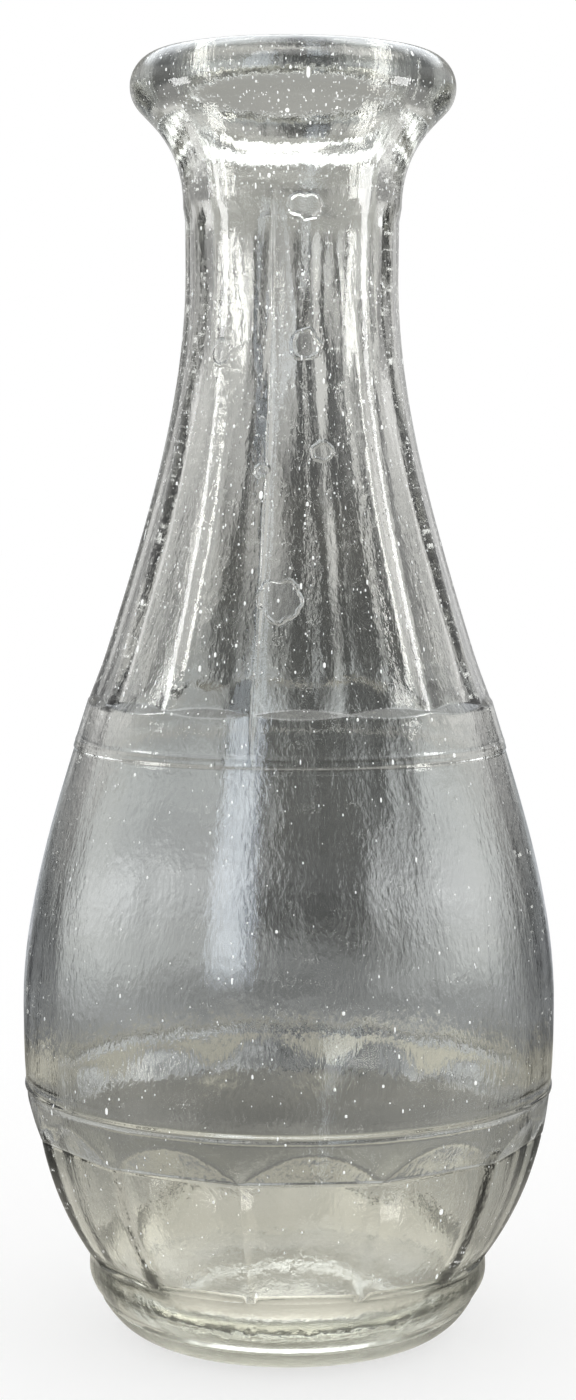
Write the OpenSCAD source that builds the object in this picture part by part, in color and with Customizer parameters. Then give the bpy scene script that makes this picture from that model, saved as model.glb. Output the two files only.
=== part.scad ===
// Pressed clear-glass water carafe with a flared mouth, a fourteen-panel neck and a twelve-panel heel.
// One moulded wall of glass, divided into its moulded zones, which meet face to face.
// Millimetres, +Z up, origin on the standing plane under the centre of the base.
// The mould's seams lie in the YZ plane.

/* [Foot] */
// Mean radius of the ring that the bottle stands on
bearing_r = 21.8; // [20.5:0.1:24]
// Width of the flat on that ring
bearing_w = 2; // [1:0.1:3]
// Radius of the foot's upright side
foot_r = 36.2; // [35.5:0.1:38]
// How far the side's lower edge is drawn in
foot_edge_in = 2; // [1:0.1:3]
// Height of the side's lower edge above the standing plane
foot_edge_z = 6.2; // [4.5:0.1:8]
// Step from the side's lower edge to the rounded underside
foot_lip = 0.3; // [0.1:0.05:0.8]
// Height of the foot, up to the waist
foot_h = 14.6; // [13:0.1:18]
// Radius of the base disc inside the foot
base_r = 18.5; // [16:0.1:19]
// Height of the push-up at the centre of the underside
push_up_h = 3; // [1:0.1:4.5]
// Height of the push-up where the base disc meets the foot
push_up_rim = 0.9; // [0.4:0.1:1]
// Thickness of glass over the push-up
base_t = 6; // [4:0.1:8]
// Fall of the inner floor from its centre to the disc's edge
floor_fall = 0.6; // [0.2:0.1:1.5]

/* [Heel] */
// Height of the panelled heel
heel_h = 23; // [18:0.5:30]
// Number of flat panels round the heel
heel_panels = 12; // [8:2:18]
// Radius at the waist
waist_r = 36.3; // [35.5:0.1:37.5]
// How far the foot's top edge is set in from the corners of the heel
waist_in = 0.3; // [0.2:0.05:0.6]
// Outward lean of the wall at the waist, in mm per mm of height
waist_lean = 0.72; // [0.5:0.01:0.85]
// Depth of the flats below the corners' circle
heel_flat = 0.2; // [0.1:0.05:0.5]

/* [Belly] */
// Height of the plain band between the heel and the bead
lower_band_h = 9; // [7:0.1:14]
// Height that the heel's panels run up into the plain band
heel_runout = 4.6; // [2.5:0.1:6]
// How far the wall at the bead is set in from the belly's widest radius
bead_in = 0.4; // [0.2:0.1:1.5]
// Outward lean of the wall at the bead, in mm per mm of height
bead_lean = 0.09; // [0.05:0.01:0.2]
// Radius of the section of the raised bead
bead_r = 0.7; // [0.4:0.05:1]
// How far the bead stands proud of the wall
bead_proud = 0.3; // [0.1:0.05:0.35]
// Height of the belly, from the bead to the shoulder band
belly_h = 60.1; // [45:0.1:80]
// Radius of the belly at its widest
belly_r = 48.1; // [46.5:0.1:51]
// Height of the widest place above the waist
widest_rise = 46; // [40:0.1:55]

/* [Shoulder] */
// Height of the plain shoulder band
shoulder_h = 7.6; // [5:0.1:12]
// Radius at the top of the shoulder band
shoulder_r = 36.4; // [33:0.1:39]
// Inward lean of the wall at the shoulder, in mm per mm of height
shoulder_lean = 0.31; // [0.2:0.005:0.45]
// How far the shoulder band stands proud of the belly
shoulder_step = 0.25; // [0.1:0.05:0.5]

/* [Neck] */
// Height of the panelled neck
neck_h = 88.4; // [75:0.1:100]
// Number of flat panels round the neck
neck_panels = 14; // [10:2:20]
// Radius of the neck at its narrowest
neck_r = 19.3; // [18:0.1:20]
// Distance from the narrowest place up to the top of the panels
neck_waist_drop = 11.6; // [8:0.1:20]
// Depth of the flats below the corners' circle
neck_flat = 0.2; // [0.1:0.05:0.4]
// Height of the scalloped ledge where the panels end on the shoulder
ledge_h = 1.8; // [1:0.1:2.5]
// Length of the straight throat
throat_len = 14; // [8:0.5:18]

/* [Mouth] */
// Height of the flared mouth
mouth_h = 27; // [24:0.1:32]
// Outer radius of the lip
lip_r = 28.9; // [27.5:0.1:31]
// Radius of the outer side of the lip's section
lip_round = 5.5; // [4.5:0.1:6]
// Radius of the inner edge of the lip's section
lip_in_round = 3; // [2:0.1:4]
// Radius at the foot of the flare
flare_r = 19.4; // [19.3:0.1:20.5]
// Height over which the flare stays nearly upright
flare_rise = 16; // [12:0.1:18]
// Depth of the lip's slanted underside
lip_under = 3.6; // [2:0.1:4.5]

/* [Glass] */
// Thickness of the wall, from the heel to the throat
wall = 4.3; // [3.5:0.1:5]
// Number of facets that set how finely curves are drawn
detail = 96; // [72:12:144]

/* [Hidden] */
$fn = detail;

glass = "#dde3dc";
tinted_glass = "#c9cfbd";

// Heights of the planes where the zones meet
waist_z = foot_h;
heel_top = waist_z + heel_h;
bead_z = heel_top + lower_band_h;
belly_top = bead_z + belly_h;
shoulder_z = belly_top + shoulder_h;
neck_top = shoulder_z + neck_h;
lip_top = neck_top + mouth_h;

widest_z = waist_z + widest_rise;
narrow_z = neck_top - neck_waist_drop;
throat_r = neck_r - wall;
throat_base = neck_top - throat_len;
lip_z = lip_top - lip_round;
lip_ring_r = lip_r - lip_round;

// Steps along the curve of one zone, and along a short curve
steps = 10;
short_steps = 6;
// Handles of the foot's underside: the share that starts out flat, and how far its top is set in
under_flat = 0.55;
under_in = 2;
// Handles of the foot's side
side_in = 0.3;
side_rise = 2;
side_out = 0.5;
side_drop = 4;
// Handles of the inner corner between floor and wall
corner_flat = 8;
corner_in = 2;
corner_drop = 3;
// Power of the curve by which the heel's flats run out
runout_power = 1.15;
// Height at which the ledge starts above the shoulder's plane
ledge_start = 0.3;
// Angle at which the lip's round leaves for its slanted underside, and where its inner edge ends
under_a = -40;
in_a = 170;
// Handles of the flare's outside and of the mouth's inside
under_lean = 0.6;
mouth_lean = 1.2;
mouth_drop = 5;
throat_handle = 14;
// Half the width of the blocks that flatten the panels
reach = lip_r + belly_r;
// How far a cutting outline runs past what it cuts
clear = 2;

// Cubic curve through two stations [z, r, slope], at height z
function between(a, b, z) =
    let (span = b[0] - a[0], t = (z - a[0]) / span)
    a[1] * (2 * t ^ 3 - 3 * t ^ 2 + 1) + b[1] * (3 * t ^ 2 - 2 * t ^ 3)
    + span * (a[2] * (t ^ 3 - 2 * t ^ 2 + t) + b[2] * (t ^ 3 - t ^ 2));

waist = [waist_z, waist_r, waist_lean];
bead_wall = [bead_z, belly_r - bead_in, bead_lean];
widest = [widest_z, belly_r, 0];
shoulder = [shoulder_z, shoulder_r, -shoulder_lean];
narrow = [narrow_z, neck_r, 0];
flare_foot = [neck_top, flare_r, 2 * (flare_r - neck_r) / neck_waist_drop];

// Radius of the circle round the outside of the wall at height z
function outer(z) =
    z < bead_z ? between(waist, bead_wall, z)
    : z < widest_z ? between(bead_wall, widest, z)
    : z < shoulder_z ? between(widest, shoulder, z)
    : z < narrow_z ? between(shoulder, narrow, z)
    : between(narrow, flare_foot, z);

// Radius of the inside of the wall: the outside less the wall, down to the straight throat
throat_foot = [throat_base, throat_r, 0];
bore_shoulder = [shoulder_z, shoulder_r - wall, -shoulder_lean];
function inner(z) =
    z < shoulder_z ? outer(z) - wall
    : z < throat_base ? between(bore_shoulder, throat_foot, z)
    : throat_r;

// Heights from z0 to z1 in equal steps
function levels(z0, z1) = [for (i = [0:steps]) z0 + (z1 - z0) * i / steps];

// Point on the circle at angle a round centre c
function arc_point(c, r, a) = [c[0] + r * cos(a), c[1] + r * sin(a)];

// Point on a cubic Bezier curve
function bezier(p, t) =
    p[0] * (1 - t) ^ 3 + p[1] * 3 * t * (1 - t) ^ 2 + p[2] * 3 * t ^ 2 * (1 - t) + p[3] * t ^ 3;

// The outer side of the wall between two planes, with nothing raised or cut
function plain_side(z0, z1) = [for (z = levels(z0, z1)) [outer(z), z]];

// Outline of the wall's section between two planes, behind the given outer side
function wall_section(z0, z1, side) = concat(side, [for (z = levels(z1, z0)) [inner(z), z]]);

// A slab as wide as the wall's flats are apart, its edges following the given outline
module flats(count, profile) {
    intersection_for (k = [0:count / 2 - 1])
        rotate([0, 0, (k + 0.5) * 360 / count - 90])
            rotate([90, 0, 0])
                linear_extrude(height = 2 * reach, center = true)
                    polygon(concat(profile,
                        [for (i = [len(profile) - 1:-1:0]) [-profile[i][0], profile[i][1]]]));
}

// Distance from the axis to a flat whose corners lie a little inside the wall's circle
function flat_r(z, count, depth) = (outer(z) - depth) * cos(180 / count);

module foot_ring() {
    side = foot_r - foot_edge_in;
    edge = side - foot_lip;
    top = waist_r - waist_in;
    ring_edge = bearing_r + bearing_w / 2;
    underside = [[ring_edge, 0], [ring_edge + under_flat * (edge - ring_edge), 0],
        [edge - under_in, foot_edge_z / 2], [edge, foot_edge_z]];
    upright = [[side, foot_edge_z], [foot_r - side_in, foot_edge_z + side_rise],
        [top + side_out, foot_h - side_drop], [top, foot_h]];
    wall_foot = inner(waist_z);
    floor_rim = push_up_h + base_t - floor_fall;
    corner = [[wall_foot, waist_z], [wall_foot - corner_in, waist_z - corner_drop],
        [base_r + corner_flat, floor_rim], [base_r, floor_rim]];
    color(tinted_glass)
        rotate_extrude()
            polygon(concat(
                [[bearing_r - bearing_w / 2, 0]],
                [for (i = [0:short_steps]) bezier(underside, i / short_steps)],
                [for (i = [0:steps]) bezier(upright, i / steps)],
                [for (i = [0:steps]) bezier(corner, i / steps)],
                [[base_r, push_up_rim]]
            ));
}

module base_disc() {
    floor_top = push_up_h + base_t;
    color(tinted_glass)
        rotate_extrude()
            polygon(concat(
                [for (i = [0:short_steps]) let (t = i / short_steps)
                    [base_r * t, push_up_h - (push_up_h - push_up_rim) * t ^ 2]],
                [for (i = [short_steps:-1:0]) let (t = i / short_steps)
                    [base_r * t, floor_top - floor_fall * t ^ 2]]
            ));
}

module panelled_heel() {
    profile = [for (z = levels(waist_z, heel_top)) [flat_r(z, heel_panels, heel_flat), z]];
    color(glass)
        intersection() {
            rotate_extrude()
                polygon(wall_section(waist_z, heel_top, plain_side(waist_z, heel_top)));
            flats(heel_panels, concat([[profile[0][0], waist_z - clear]], profile,
                [[profile[steps][0], heel_top + clear]]));
        }
}

// The panels run out upwards into the plain band, which carries the raised bead at its top edge
module lower_band() {
    start_r = flat_r(heel_top, heel_panels, heel_flat);
    end_z = heel_top + heel_runout;
    bead_c = [outer(bead_z - bead_r) + bead_proud - bead_r, bead_z - bead_r];
    bead_half_a = acos(1 - bead_proud / bead_r);
    runout = [for (i = [0:steps]) let (t = i / steps)
        [start_r + (outer(end_z) - start_r) * t ^ runout_power, heel_top + heel_runout * t]];
    color(glass)
        intersection() {
            rotate_extrude()
                polygon(wall_section(heel_top, bead_z, concat(
                    plain_side(heel_top, bead_z - bead_r - bead_r * sin(bead_half_a)),
                    [for (i = [0:short_steps])
                        arc_point(bead_c, bead_r, bead_half_a * (2 * i / short_steps - 1))],
                    [[outer(bead_z), bead_z]]
                )));
            flats(heel_panels, concat([[start_r, heel_top - clear]], runout,
                [[belly_r + clear, end_z + clear], [belly_r + clear, bead_z + clear]]));
        }
}

module belly() {
    color(glass)
        rotate_extrude()
            polygon(wall_section(bead_z, belly_top,
                [for (i = [0:2 * steps]) let (z = bead_z + belly_h * i / (2 * steps)) [outer(z), z]]));
}

module shoulder_band() {
    color(glass)
        rotate_extrude()
            polygon(wall_section(belly_top, shoulder_z, concat(
                [[outer(belly_top), belly_top]],
                [for (z = levels(belly_top + shoulder_step, shoulder_z)) [outer(z) + shoulder_step, z]]
            )));
}

// The flats start above a scalloped ledge on the shoulder band and fade out at the foot of the flare
module panelled_neck() {
    foot_z = shoulder_z + ledge_h;
    foot_flat = flat_r(foot_z, neck_panels, neck_flat);
    ledge_out = outer(shoulder_z) + shoulder_step + clear;
    side = [for (z = levels(shoulder_z, neck_top))
        [outer(z) + (z < foot_z ? shoulder_step : 0), z]];
    profile = concat(
        [[ledge_out, shoulder_z - clear], [ledge_out, shoulder_z]],
        [for (i = [0:short_steps]) let (t = i / short_steps) [
            foot_flat + (1 - t) ^ 2 * (outer(shoulder_z) + shoulder_step - foot_flat),
            shoulder_z + ledge_start + (ledge_h - ledge_start) * t]],
        [for (i = [1:steps]) let (z = foot_z + (neck_top - foot_z) * i / steps)
            [flat_r(z, neck_panels, neck_flat), z]],
        [[flat_r(neck_top, neck_panels, neck_flat), neck_top + clear]]
    );
    color(glass)
        intersection() {
            rotate_extrude()
                polygon(concat(side, [[throat_r, neck_top]],
                    [for (z = levels(throat_base, shoulder_z)) [inner(z), z]]));
            flats(neck_panels, profile);
        }
}

module mouth_ring() {
    under_end = arc_point([lip_ring_r, lip_z], lip_round, under_a);
    flare = [[flare_r, neck_top], [flare_r, neck_top + flare_rise],
        [under_end[0] - under_lean, under_end[1] - lip_under], under_end];
    in_c = [lip_ring_r, lip_top - lip_in_round];
    in_end = arc_point(in_c, lip_in_round, in_a);
    mouth = [in_end, [in_end[0] - mouth_lean, in_end[1] - mouth_drop],
        [throat_r, neck_top + throat_handle], [throat_r, neck_top]];
    color(tinted_glass)
        rotate_extrude()
            polygon(concat(
                [for (i = [0:steps]) bezier(flare, i / steps)],
                [for (i = [1:steps]) arc_point([lip_ring_r, lip_z], lip_round,
                    under_a + (90 - under_a) * i / steps)],
                [for (i = [1:short_steps])
                    arc_point(in_c, lip_in_round, 90 + (in_a - 90) * i / short_steps)],
                [for (i = [1:steps]) bezier(mouth, i / steps)]
            ));
}

foot_ring();
base_disc();
panelled_heel();
lower_band();
belly();
shoulder_band();
panelled_neck();
mouth_ring();
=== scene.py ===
"""A panelled carafe of clear pressed glass, standing on a pale floor in plain soft light.

The glass is one closed shell: a profile carried round the axis, whose radius, height and fine relief
are functions of the angle and the height. Lengths are in metres and angles in radians.
"""
import math

import bpy
import numpy as np
from bpy.props import FloatProperty, FloatVectorProperty, IntProperty, PointerProperty
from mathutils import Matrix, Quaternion, Vector


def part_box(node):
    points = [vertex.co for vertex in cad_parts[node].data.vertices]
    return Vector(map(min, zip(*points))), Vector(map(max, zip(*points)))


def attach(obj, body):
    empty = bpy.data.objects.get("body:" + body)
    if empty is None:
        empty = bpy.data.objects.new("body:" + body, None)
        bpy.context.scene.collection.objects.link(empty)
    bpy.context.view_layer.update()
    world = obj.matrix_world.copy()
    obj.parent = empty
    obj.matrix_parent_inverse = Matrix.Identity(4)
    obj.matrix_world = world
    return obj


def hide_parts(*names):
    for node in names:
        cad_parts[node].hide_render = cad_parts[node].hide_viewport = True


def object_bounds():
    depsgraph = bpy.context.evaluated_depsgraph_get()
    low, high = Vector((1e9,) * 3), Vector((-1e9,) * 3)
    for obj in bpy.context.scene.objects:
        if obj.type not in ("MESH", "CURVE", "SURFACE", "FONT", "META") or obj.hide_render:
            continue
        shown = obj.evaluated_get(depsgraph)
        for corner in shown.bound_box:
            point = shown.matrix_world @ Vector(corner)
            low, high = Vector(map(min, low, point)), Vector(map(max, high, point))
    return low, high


bl_info = {
    "name": "Panelled Glass Carafe",
    "version": (1, 0, 0),
    "blender": (4, 5, 0),
    "location": "View3D > Sidebar > Carafe",
    "description": "Dresses the packed frame of a pressed glass carafe and lights it on a pale floor",
    "category": "Object",
}

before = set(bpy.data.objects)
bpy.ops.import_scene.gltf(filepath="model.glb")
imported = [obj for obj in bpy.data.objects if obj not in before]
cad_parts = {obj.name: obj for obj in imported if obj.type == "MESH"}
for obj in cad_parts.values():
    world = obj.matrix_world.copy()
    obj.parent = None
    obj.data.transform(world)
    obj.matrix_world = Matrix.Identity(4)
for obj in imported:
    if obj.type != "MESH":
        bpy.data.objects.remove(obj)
CAD_LOW, CAD_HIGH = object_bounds()

# One millimetre, in metres
MM = 0.001


def foot_of(node):
    """Height of a CAD node's lowest point."""
    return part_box(node)[0].z


def top_of(node):
    """Height of a CAD node's highest point."""
    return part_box(node)[1].z


def length(name, description, default):
    """A size that a user would change, in metres."""
    return FloatProperty(name=name, description=description, default=default, unit="LENGTH", precision=5)


def share(name, description, default, low=0, high=1):
    """A share that a user would change, between two limits."""
    return FloatProperty(name=name, description=description, default=default, min=low, max=high)


def srgb(code):
    """Linear RGB of an sRGB hex colour such as '#c8ccc0'."""
    c = np.array([int(code[i:i + 2], 16) for i in (1, 3, 5)]) / 255
    return tuple(np.where(c <= 0.04045, c / 12.92, ((c + 0.055) / 1.055) ** 2.4))


def colour(name, description, code):
    """A colour that a user would change, given as sRGB hex."""
    return FloatVectorProperty(name=name, description=description, subtype="COLOR",
        size=3, min=0, max=1, default=srgb(code))


class CarafeSizes(bpy.types.PropertyGroup):
    """Sizes of the glass. The heights of its zones come from the frame."""
    bearing_r: length("Standing ring", "Middle radius of the ring that it stands on", 21.8 * MM)
    bearing_w: length("Ring width", "Width of the flat ring that it stands on", 2 * MM)
    base_r: length("Base radius", "Radius of the pushed-up disc under the base", 18.5 * MM)
    push_up_h: length("Push-up", "Height of the base's underside at the axis", 3 * MM)
    push_up_rim: length("Push-up rim", "Height of the underside at the disc's rim", 0.9 * MM)
    base_t: length("Base thickness", "Glass between the underside and the floor inside", 6 * MM)
    floor_fall: length("Floor fall", "How far the inside floor falls from the axis outwards", 0.6 * MM)
    foot_r: length("Foot radius", "Largest radius of the foot", 36.2 * MM)
    foot_edge_in: length("Foot edge inset", "How far the foot's lower edge is set in", 2 * MM)
    foot_edge_z: length("Foot edge height", "Height of the foot's lower edge", 6.2 * MM)
    foot_groove: length("Foot groove", "Depth of the fine groove under the foot's edge", 1 * MM)
    foot_wave: length("Foot wave", "How far the foot's edge rises at the sides", 1.3 * MM)
    waist_r: length("Waist radius", "Radius where the heel meets the foot", 36.3 * MM)
    waist_in: length("Waist step", "How far the foot is set in at the waist", 0.3 * MM)
    belly_r: length("Belly radius", "Widest radius of the belly", 48.05 * MM)
    bead_in: length("Bead inset", "How far the wall at the bead is set in from the widest radius", 0.4 * MM)
    bead_r: length("Bead radius", "Radius of the raised bead's round", 0.7 * MM)
    bead_proud: length("Bead height", "How far the bead stands out of the wall", 0.3 * MM)
    widest_rise: length("Widest place", "Height of the widest place above the waist", 46 * MM)
    heel_depth: share("Heel panel depth", "Depth of the heel's panels, as a share of true flats", 0.85)
    runout: length("Panel run-out", "Height over which the heel's panels run out", 5.6 * MM)
    crease: length("Crease", "Depth of the fine line at the top of the heel's panels", 0.12 * MM)
    shoulder_r: length("Shoulder radius", "Radius at the top of the shoulder band", 36.4 * MM)
    shoulder_step: length("Shoulder step", "How far the shoulder band stands out", 0.25 * MM)
    ledge_h: length("Ledge height", "Height of the scalloped ledge under the neck's panels", 1.9 * MM)
    ledge_soft: share("Ledge edges", "How much of the ledge is rounded off at each edge", 0.12, 0.01, 0.5)
    neck_inside: share("Panels inside, neck", "How far the inside follows the neck's panels", 0.75)
    heel_inside: share("Panels inside, heel", "How far the inside follows the heel's panels", 0.6)
    neck_r: length("Neck radius", "Radius of the neck at its narrowest", 19.3 * MM)
    neck_waist_drop: length("Narrowest place", "Its distance below the neck's top", 11.6 * MM)
    panel_in: length("Panel inset", "How far the panels' corners lie inside the wall's circle", 0.2 * MM)
    corner_round: length("Corner round", "How far the corners of the neck's panels are softened", 0.6 * MM)
    flare_r: length("Flare radius", "Radius at the foot of the flare", 19.4 * MM)
    flare_rise: length("Flare rise", "Height over which the flare stays nearly upright", 10.2 * MM)
    lip_r: length("Lip radius", "Largest radius of the lip", 28.9 * MM)
    lip_round: length("Lip round", "Radius of the lip's outer round", 6 * MM)
    lip_in_round: length("Inner round", "Radius of the lip's inner round", 2.3 * MM)
    lip_flat: length("Lip flat", "Width of the flat on top of the lip", 0.7 * MM)
    mouth_fall: length("Mouth", "Height over which the mouth narrows to the throat", 20 * MM)
    lip_under: length("Lip underside", "Length of the lip's slanted underside", 3.4 * MM)
    wall: length("Wall", "Thickness of the glass from the heel to the throat", 4.3 * MM)
    throat_len: length("Throat", "Length of the straight throat", 14 * MM)
    neck_panels: IntProperty(name="Neck panels", description="Flats round the neck", default=14, min=6)
    heel_panels: IntProperty(name="Heel panels", description="Flats round the heel", default=12, min=6)
    seam_h: length("Seam height", "Height of the mould's seams on the neck", 0.2 * MM)
    seam_w: length("Seam width", "Half the width of the mould's seams", 0.35 * MM)
    ripple: length("Surface ripple", "Depth of the ripple on the outside", 0.02 * MM)
    inner_ripple: length("Inner ripple", "Depth of the waves on the blown inside", 0.13 * MM)
    seeds: IntProperty(name="Seeds", description="Number of tiny bubbles in the glass", default=6100, min=0)
    lip_seeds: IntProperty(name="Seeds in the lip", description="How many of them lie in the lip and flare",
        default=1500, min=0)


class CarafeFinish(bpy.types.PropertyGroup):
    """Colours of the glass."""
    glass: colour("Glass", "Tint at the surface of the glass", "#fcfcfa")
    depth: colour("Glass in depth", "Colour that light takes in thick glass", "#dbdac2")
    # The seeds' own colour, which also tints their painted glint
    seed: colour("Seeds", "Bubbles in the glass", "#f4f6f6")


class CarafeStage(bpy.types.PropertyGroup):
    """The floor, the soft light and the camera."""
    floor: colour("Floor", "The floor and the backdrop", "#ffffff")
    floor_glow: share("Floor glow", "How much of the floor's tone is free of shadow", 0.6)
    front: colour("Room in front", "The room round the camera, as the glass mirrors it", "#a0a2a2")
    sky: colour("Ceiling", "The soft light above, as the glass shows it", "#f4f8fc")
    camera_distance: length("Camera distance", "From the carafe's axis to the camera", 0.5067)
    camera_height: length("Camera height", "Height of the camera above the floor", 0.1583)
    aim_height: length("Aim height", "Height on the axis that the camera looks at", 0.115)
    aim_across: length("Aim aside", "How far to the left of the axis the camera looks", 0.4 * MM)
    camera_azimuth: FloatProperty(name="Camera azimuth", description="Angle round the carafe from its front",
        default=math.radians(10), unit="ROTATION")
    camera_roll: FloatProperty(name="Camera roll", description="Tilt of the camera about its own axis",
        default=math.radians(0.26), unit="ROTATION")
    camera_lens: FloatProperty(name="Focal length", description="In millimetres, on the frame's long side",
        default=72.5)


# ---------------------------------------------------------------- the glass

# Directions of the front seam and of the foot's lowest edge
SEAM = -math.pi / 2
FRONT = SEAM + math.radians(10)
# Outward lean of the wall, in metres per metre of height
WAIST_LEAN, BEAD_LEAN, SHOULDER_LEAN = 0.72, 0.09, -0.31
# Where the lip's outer round starts and its inner round ends, in degrees up from outward
LIP_LEAN, MOUTH_LEAN = -43, 147.4
# Columns of the mesh round the axis, and its rows in the parts of the lip's outline
COLUMNS = 330
FLARE_ROWS, LIP_ROWS, INNER_ROWS, MOUTH_ROWS = 22, 16, 5, 16
# Where the foot's underside ends, in and down from the foot's edge, and the edge's groove above that
UNDER_IN, UNDER_DOWN = 0.35 * MM, 0.9 * MM
GROOVE_LOW, GROOVE_HIGH = 0.5 * MM, 0.3 * MM
# Height over which the neck's panels take over from the shoulder band
PANEL_START = 9 * MM
# The neck's ledge: shares of its height at which its slope starts and ends at a corner, and how much
# lower and higher they are in the middle of a flat
LEDGE_START, LEDGE_DIP, LEDGE_END, LEDGE_LIFT = 0.55, 0.35, 0.6, 0.45
# The shoulder band's lower edge: how far down it starts, and its height
BAND_START, BAND_EDGE = 0.2 * MM, 0.45 * MM
# The hair line over it: how far up it is, how far it stands out, and half its width
HAIR_UP, HAIR_HIGH, HAIR_WIDE = 1.5 * MM, 0.07 * MM, 0.3 * MM


def hermite(stations, z):
    """Cubic curve through stations (height, radius, slope), at heights z."""
    stations = np.asarray(stations)
    k = np.clip(np.searchsorted(stations[:, 0], z, "right") - 1, 0, len(stations) - 2)
    z0, r0, m0 = (stations[k, i] for i in range(3))
    z1, r1, m1 = (stations[k + 1, i] for i in range(3))
    span = z1 - z0
    t = (z - z0) / span
    return (r0 * (2 * t**3 - 3 * t**2 + 1) + r1 * (3 * t**2 - 2 * t**3)
        + span * (m0 * (t**3 - 2 * t**2 + t) + m1 * (t**3 - t**2)))


def bezier(points, count):
    """count points along a cubic Bezier curve, without its last one."""
    t = np.linspace(0, 1, count, endpoint=False)[:, None]
    a, b, c, d = np.asarray(points, float)
    return a * (1 - t)**3 + 3 * b * t * (1 - t)**2 + 3 * c * t**2 * (1 - t) + d * t**3


def arc(centre, r, start, end, count):
    """count points on an arc between two angles in degrees, without its last one."""
    a = np.radians(np.linspace(start, end, count, endpoint=False))
    return np.stack([centre[0] + r * np.cos(a), centre[1] + r * np.sin(a)], 1)


def smooth_min(a, b, k):
    """The lesser of a and b, rounded off where they are within k of each other."""
    h = np.maximum(k - np.abs(a - b), 0) / k
    return np.minimum(a, b) - h * h * k / 4


def smooth_step(x):
    """0 below 0, 1 above 1, and a smooth rise between."""
    x = np.clip(x, 0, 1)
    return x * x * (3 - 2 * x)


def soft_ramp(x, soft):
    """0 below 0, 1 above 1 and a straight rise between, with both bends rounded off within soft of them."""
    def area(x):
        return np.where(x < 1, np.clip(x, 0, 1)**2 / 2, x - 0.5)
    return (area(x + soft) - area(x - soft)) / (2 * soft)


def zone_heights(s):
    """Heights of the planes between the zones of glass, from the frame."""
    z = {
        "waist": foot_of("panelled_heel"),
        "heel": top_of("panelled_heel"),
        "bead": top_of("lower_band"),
        "belly": top_of("belly"),
        "shoulder": top_of("shoulder_band"),
        "neck": top_of("panelled_neck"),
        "lip": top_of("mouth_ring"),
    }
    z["widest"] = z["waist"] + s.widest_rise
    z["narrow"] = z["neck"] - s.neck_waist_drop
    z["throat"] = z["neck"] - s.throat_len
    return z


def outer_radius(s, h, z):
    """Radius of the circle round the outside of the wall at heights z, from the waist to the flare."""
    return hermite([
        (h["waist"], s.waist_r, WAIST_LEAN),
        (h["bead"], s.belly_r - s.bead_in, BEAD_LEAN),
        (h["widest"], s.belly_r, 0),
        (h["shoulder"], s.shoulder_r, SHOULDER_LEAN),
        (h["narrow"], s.neck_r, 0),
        (h["neck"], s.flare_r, 2 * (s.flare_r - s.neck_r) / s.neck_waist_drop),
    ], z)


def inner_radius(s, h, z):
    """Radius of the inside: the outside less the wall, then a curve down to the straight throat."""
    throat_r = s.neck_r - s.wall
    upper = hermite([(h["shoulder"], s.shoulder_r - s.wall, SHOULDER_LEAN), (h["throat"], throat_r, 0)],
        np.clip(z, h["shoulder"], h["throat"]))
    return np.where(z < h["shoulder"], outer_radius(s, h, z) - s.wall, upper)


def panel_angle(theta, count):
    """Angle from the middle of the nearest panel, with a corner between panels on the seam."""
    return (((theta - SEAM) * count / math.tau) % 1 - 0.5) * math.tau / count


def flat_radius(distance, theta, count, softness):
    """Radius of a ring of flats at a distance from the axis, with softened corners between them."""
    a = panel_angle(theta, count)
    own = distance / np.cos(a)
    neighbour = distance / np.cos(math.tau / count - np.abs(a))
    return smooth_min(own, neighbour, softness)


def heel_panels(s, h, theta, z):
    """The heel's shallow flats. Above a crease they lean out and run into the round wall in arches."""
    softness, bend, crease_w = 0.4 * MM, 0.06, 0.25 * MM
    wall = outer_radius(s, h, z)
    half = math.pi / s.heel_panels
    depth = s.heel_depth * (wall - flat_radius(wall * math.cos(half), theta, s.heel_panels, softness))
    deepest = s.heel_depth * wall * (1 - math.cos(half))
    up = (z - h["heel"]) / s.runout
    rise = deepest * soft_ramp(up, bend) + deepest * np.clip(up - 1, 0, None)
    return wall + rise - depth - s.crease * np.exp(-((z - h["heel"]) / crease_w)**2)


def neck_panels(s, h, theta, z, band):
    """The neck's flats, over a ledge that dips to a lens shape in the middle of each flat."""
    half = math.pi / s.neck_panels
    # 0 at a corner between flats and 1 in the middle of a flat
    across = 1 - (panel_angle(theta, s.neck_panels) / half)**2
    low = h["shoulder"] + s.ledge_h * (LEDGE_START - LEDGE_DIP * across)
    high = h["shoulder"] + s.ledge_h * (LEDGE_END + LEDGE_LIFT * across)
    ledge = 1 - soft_ramp((z - low) / (high - low), s.ledge_soft)
    panelled = smooth_step((z - h["shoulder"]) / PANEL_START)
    circle = outer_radius(s, h, z) + s.shoulder_step * (1 - panelled) - s.panel_in * panelled
    flat = flat_radius(circle * math.cos(half), theta, s.neck_panels, s.corner_round)
    return flat + ledge * (band - flat)


def inner_panels(s, h, theta, z):
    """Share of the inside's radius that is left where the glass follows the panels outside: soft flats in
    the heel and the lower neck, and a plain circle in the belly and the throat."""
    start, throat_fade, softness = 8 * MM, 45 * MM, 0.02
    left = np.ones(np.broadcast(theta, z).shape)
    for count, present in (
            (s.neck_panels, s.neck_inside * smooth_step((z - h["shoulder"]) / start)
                * smooth_step((h["throat"] - z) / throat_fade)),
            (s.heel_panels, s.heel_inside * smooth_step((h["heel"] + s.runout - z) / start))):
        flat = flat_radius(math.cos(math.pi / count), theta, count, softness)
        left = left - present * (1 - flat)
    return left


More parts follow.
